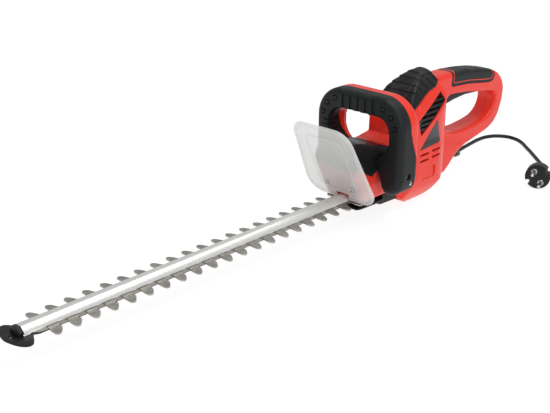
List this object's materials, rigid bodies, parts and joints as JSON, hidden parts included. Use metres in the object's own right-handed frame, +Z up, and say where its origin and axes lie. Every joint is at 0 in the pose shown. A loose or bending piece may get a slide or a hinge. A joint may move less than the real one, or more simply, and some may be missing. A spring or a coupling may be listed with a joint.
{
  "type": "hedge trimmer",
  "caption": "Corded electric hedge trimmer: double-sided reciprocating blades, looped front handle with a hand guard, rear D handle with trigger, short mains lead.",
  "frame": {"origin": "on the standing surface, under the middle of the machine without its cord; the surface touches the flat of the belly", "axes": "+X along the blades to their tip, +Y to the left of the user, +Z up, square to the blades"},
  "size_m": [0.9986, 0.2147, 0.187],
  "materials": {
    "red_plastic": "satin injection-moulded ABS, fine spark texture",
    "black_plastic": "matt moulded nylon",
    "soft_grip": "soft overmoulded elastomer, matt",
    "clear_guard": "translucent milky polycarbonate, satin",
    "blade_steel": "ground spring steel",
    "bright_steel": "zinc-plated steel",
    "rail_aluminium": "satin anodised extrusion",
    "cast_aluminium": "as-cast",
    "copper": "enamelled winding copper",
    "brass": "pressed brass",
    "switch_plastic": "moulded phenolic",
    "nylon": "natural nylon",
    "cord_rubber": "smooth rubber sheath"
  },
  "bodies": {
    "machine": {"left_housing": "red_plastic", "right_housing": "red_plastic", "housing_screw_1": "bright_steel", "housing_screw_2": "bright_steel", "housing_screw_3": "bright_steel", "housing_screw_4": "bright_steel", "housing_screw_5": "bright_steel", "motor_cap": "black_plastic", "gear_cowl": "black_plastic", "rear_grip": "soft_grip", "left_vent_grille": "black_plastic", "left_badge_plate": "black_plastic", "right_vent_grille": "black_plastic", "right_badge_plate": "black_plastic", "base_plate": "black_plastic", "cutter_rail": "rail_aluminium", "support_bar": "black_plastic", "rail_bolt_1": "bright_steel", "rail_bolt_2": "bright_steel", "rail_bolt_3": "bright_steel", "rail_bolt_4": "bright_steel", "rail_bolt_5": "bright_steel", "tip_guard": "black_plastic", "crank_bearing": "bright_steel", "gear_case_plate": "cast_aluminium", "lower_motor_bearing": "bright_steel", "upper_motor_bearing": "bright_steel", "stator": "blade_steel", "left_brush_holder": "brass", "right_brush_holder": "brass", "front_handle_grip": "soft_grip", "front_handle_back": "red_plastic", "front_switch": "switch_plastic", "handle_screw_1": "bright_steel", "handle_screw_2": "bright_steel", "handle_screw_3": "bright_steel", "handle_screw_4": "bright_steel", "hand_guard": "clear_guard", "guard_screw_1": "bright_steel", "guard_screw_2": "bright_steel", "trigger_pin": "bright_steel", "trigger_switch": "switch_plastic", "strain_relief": "cord_rubber", "cord": "cord_rubber", "plug_body": "cord_rubber", "plug_pin_1": "bright_steel", "plug_pin_2": "bright_steel"},
    "crank": {"drive_gear": "bright_steel", "crank_shaft": "bright_steel"},
    "rotor": {"motor_shaft": "bright_steel", "armature": "copper", "commutator": "copper", "fan": "nylon"},
    "upper_cutter": {"upper_blade": "blade_steel"},
    "lower_cutter": {"lower_blade": "blade_steel"},
    "front_switch_bar": {"front_switch_bar": "black_plastic"},
    "trigger": {"rear_trigger": "soft_grip"}
  },
  "joints": [
    {"name": "crank_spin", "type": "hinge", "parent": "machine", "child": "crank", "pos_m": [-0.18987, 0, 0.0435], "axis": [0, 0, 1], "continuous": true},
    {"name": "rotor_spin", "type": "hinge", "parent": "machine", "child": "rotor", "pos_m": [-0.223, 0, 0.094], "axis": [0, 0, 1], "continuous": true},
    {"name": "upper_cutter_slide", "type": "slide", "parent": "machine", "child": "upper_cutter", "axis": [1, 0, 0], "range_m": [-0.012, 0]},
    {"name": "lower_cutter_slide", "type": "slide", "parent": "machine", "child": "lower_cutter", "axis": [1, 0, 0], "range_m": [0, 0.012]},
    {"name": "front_switch_press", "type": "slide", "parent": "machine", "child": "front_switch_bar", "axis": [0, 0, 1], "range_m": [0, 0.004], "stiffness_N_per_m": 2500, "springref_m": -0.002},
    {"name": "trigger_press", "type": "hinge", "parent": "machine", "child": "trigger", "pos_m": [-0.395, 0, 0.135], "axis": [0, -1, 0], "range_deg": [0, 4.5], "stiffness_Nm_per_rad": 3, "springref_deg": -3.44}
  ],
  "couplings": [
    {"joint": "rotor_spin", "follows": "crank_spin", "ratio": -6.5714},
    {"joint": "lower_cutter_slide", "follows": "upper_cutter_slide", "ratio": -1}
  ]
}
